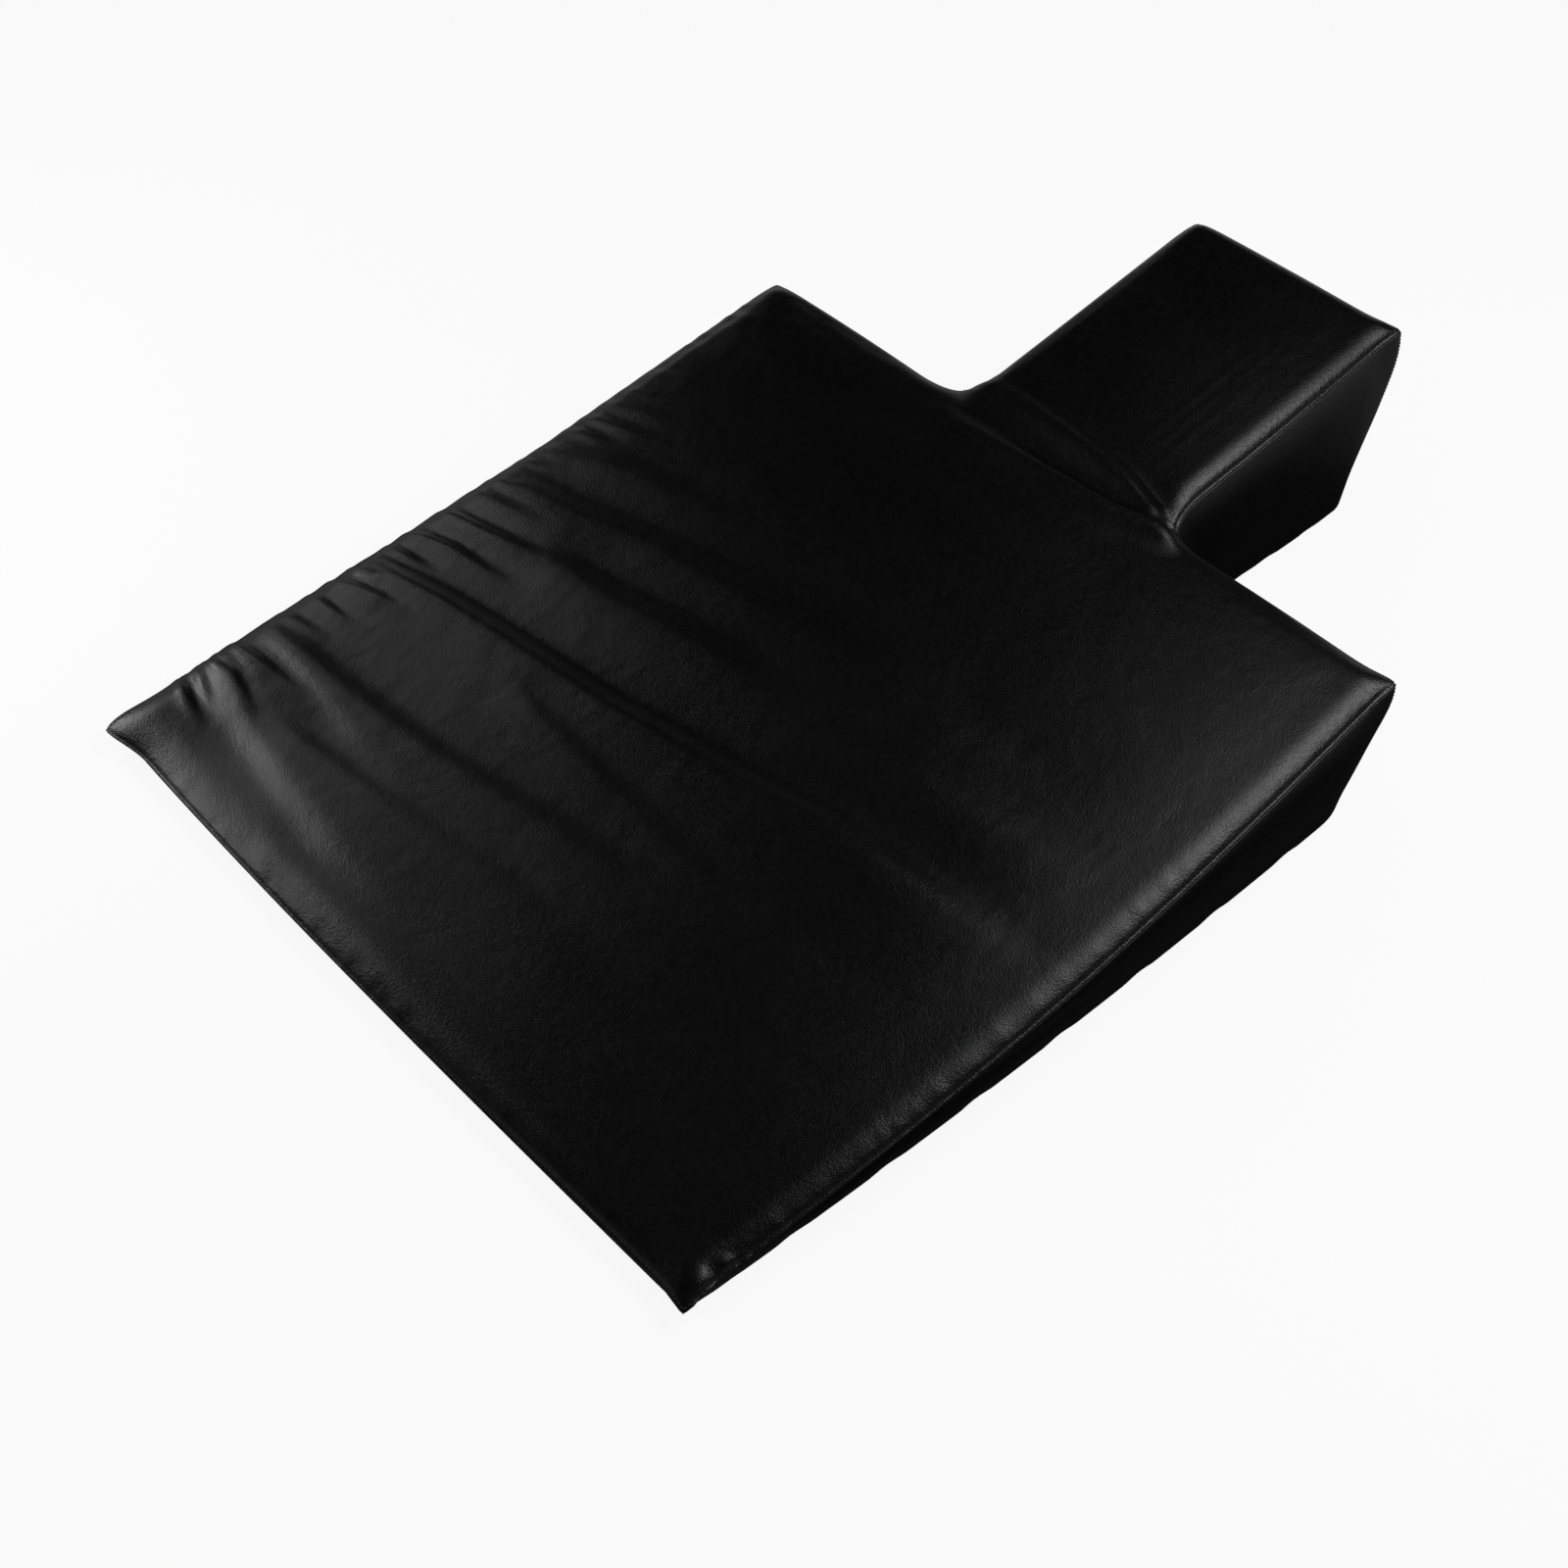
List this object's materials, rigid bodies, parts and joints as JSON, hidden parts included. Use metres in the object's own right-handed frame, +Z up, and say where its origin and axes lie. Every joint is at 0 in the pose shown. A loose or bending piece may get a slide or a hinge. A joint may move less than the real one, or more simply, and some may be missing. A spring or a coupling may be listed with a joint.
{
  "type": "foam exercise wedge",
  "caption": "Low foam exercise wedge with a narrower, steeper headrest behind it, T-shaped from above, in a sewn leatherette cover with a zip along one side.",
  "frame": {"origin": "centre of the bounding box at the base, on the surface the wedge lies on", "axes": "+X across the width, towards the side without the zip; +Y from the low edge to the headrest's end; +Z up"},
  "size_m": [0.6094, 0.8576, 0.1567],
  "materials": {
    "leatherette": "satin black leatherette with a fine grain",
    "foam": "open-cell foam, bare",
    "thread": "black sewing thread",
    "zip_tape": "black woven tape",
    "zip_coil": "black moulded coil",
    "zip_metal": "blackened metal, lightly polished"
  },
  "bodies": {
    "wedge": {"top_panel": "leatherette", "base_panel": "leatherette", "front_edge_panel": "leatherette", "right_side_panel": "leatherette", "left_side_panel": "leatherette", "right_rear_panel": "leatherette", "left_rear_panel": "leatherette", "headrest_right_panel": "leatherette", "headrest_left_panel": "leatherette", "headrest_end_panel": "leatherette", "top_seam_thread": "thread", "base_seam_thread": "thread", "front_right_seam_thread": "thread", "front_left_seam_thread": "thread", "rear_right_seam_thread": "thread", "rear_left_seam_thread": "thread", "notch_right_seam_thread": "thread", "notch_left_seam_thread": "thread", "headrest_right_seam_thread": "thread", "headrest_left_seam_thread": "thread", "zip_stitch_upper": "thread", "zip_stitch_lower": "thread", "foam_wedge_core": "foam", "foam_headrest_core": "foam", "zip_tape_upper": "zip_tape", "zip_tape_lower": "zip_tape", "zip_teeth_upper": "zip_coil", "zip_teeth_lower": "zip_coil", "zip_top_stop_upper": "zip_metal", "zip_top_stop_lower": "zip_metal", "zip_bottom_stop": "zip_metal"},
    "slider": {"zip_slider": "zip_metal"},
    "pull": {"zip_pull": "zip_metal"}
  },
  "joints": [
    {"name": "zip_slide", "type": "slide", "parent": "wedge", "child": "slider", "axis": [0, -1, 0], "range_m": [0, 0.3194]},
    {"name": "pull_hinge", "type": "hinge", "parent": "slider", "child": "pull", "pos_m": [-0.29887, 0.1443, 0.015], "axis": [0, 0, -1], "range_deg": [0, 180]}
  ]
}
